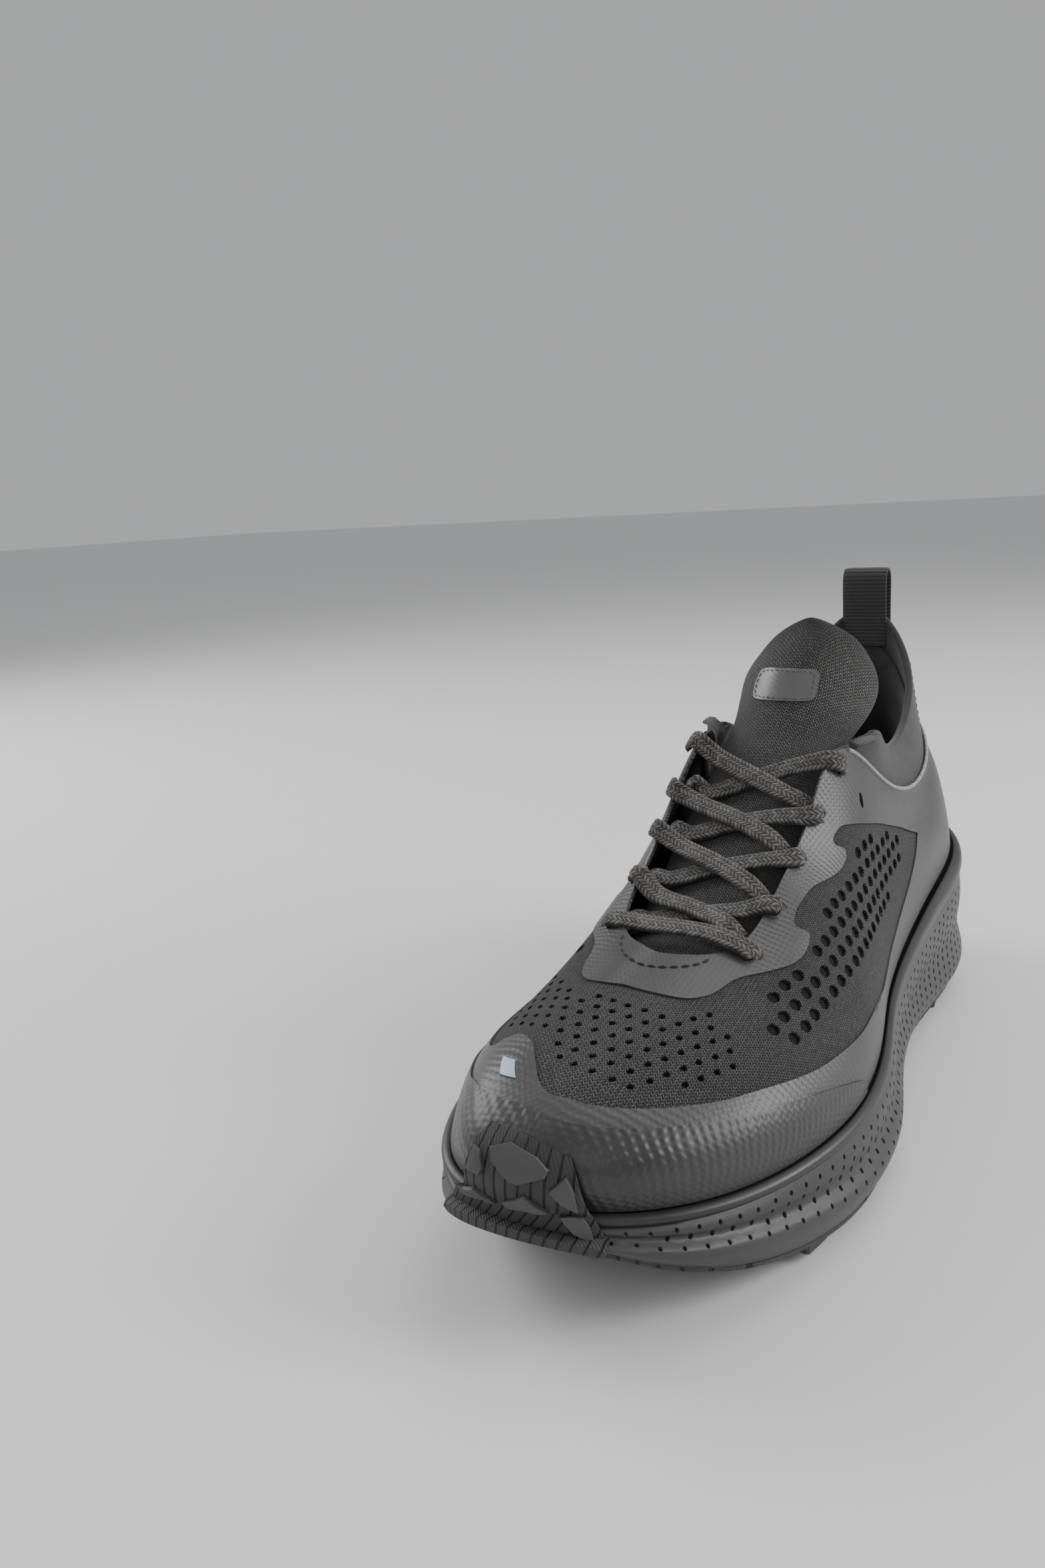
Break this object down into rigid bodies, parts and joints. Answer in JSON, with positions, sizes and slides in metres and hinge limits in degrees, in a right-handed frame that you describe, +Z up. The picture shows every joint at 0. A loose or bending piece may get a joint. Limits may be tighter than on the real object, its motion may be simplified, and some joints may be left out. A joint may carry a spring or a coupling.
{
  "type": "running shoe",
  "caption": "Left running shoe with a thick perforated foam midsole, lugged rubber outsole, knit upper with film overlays, flat laces, stand-up tongue flap and heel pull loop.",
  "frame": {"origin": "on the ground plane, under the middle of the whole shoe's box", "axes": "+Y towards the heel, -Y towards the toe, +X towards the outer (little-toe) side, +Z up"},
  "size_m": [0.1146, 0.3126, 0.17],
  "materials": {
    "midsole_foam": "satin moulded foam skin, perforated",
    "rim_foam": "smooth satin foam skin",
    "outsole_rubber": "matt moulded rubber",
    "board": "pressed fibre board",
    "sockliner": "brushed textile over foam",
    "stiffener": "matt thermoplastic sheet",
    "padding": "open-cell foam",
    "lining": "brushed knit",
    "knit_mesh": "engineered knit with open holes",
    "film_overlay": "satin film, fine rib texture",
    "toe_film": "satin film, ripstop texture",
    "collar_knit": "brushed stretch knit",
    "piping": "fine cord",
    "thread": "stitched thread",
    "tongue_knit": "ribbed stretch knit",
    "patch": null,
    "reflector": "reflective film",
    "lace_braid": "flat herringbone braid",
    "lace_tip": "clear-coated sleeve",
    "webbing": "woven tape"
  },
  "bodies": {
    "shoe": {"midsole": "midsole_foam", "midsole_rim": "rim_foam", "outsole_forefoot": "outsole_rubber", "outsole_heel": "outsole_rubber", "toe_bumper": "outsole_rubber", "strobel_board": "board", "toe_puff": "stiffener", "heel_counter": "stiffener", "collar_foam": "padding", "heel_lining": "lining", "mesh_upper": "knit_mesh", "mudguard": "film_overlay", "toe_guard": "toe_film", "eyestay": "film_overlay", "quarter_overlay": "film_overlay", "collar": "collar_knit", "collar_piping": "piping", "vamp_stitching": "thread", "tongue": "tongue_knit", "toe_reflector": "reflector", "lace": "lace_braid", "lace_tips": "lace_tip", "loop_base": "webbing"},
    "flap": {"tongue_flap": "tongue_knit", "tongue_patch": "patch"},
    "loop": {"pull_loop": "webbing"},
    "sockliner": {"insole": "sockliner"}
  },
  "joints": [
    {"name": "tongue_flap_hinge", "type": "hinge", "parent": "shoe", "child": "flap", "pos_m": [0, 0.0153, 0.121], "axis": [1, 0, 0], "range_deg": [-3, 16], "stiffness_Nm_per_rad": 0.08},
    {"name": "pull_loop_hinge", "type": "hinge", "parent": "shoe", "child": "loop", "pos_m": [0, 0.1439, 0.157], "axis": [1, 0, 0], "range_deg": [-30, 30], "stiffness_Nm_per_rad": 0.03},
    {"name": "insole_lift", "type": "hinge", "parent": "shoe", "child": "sockliner", "pos_m": [0, -0.1365, 0.029], "axis": [1, 0, 0], "range_deg": [0, 6]}
  ]
}
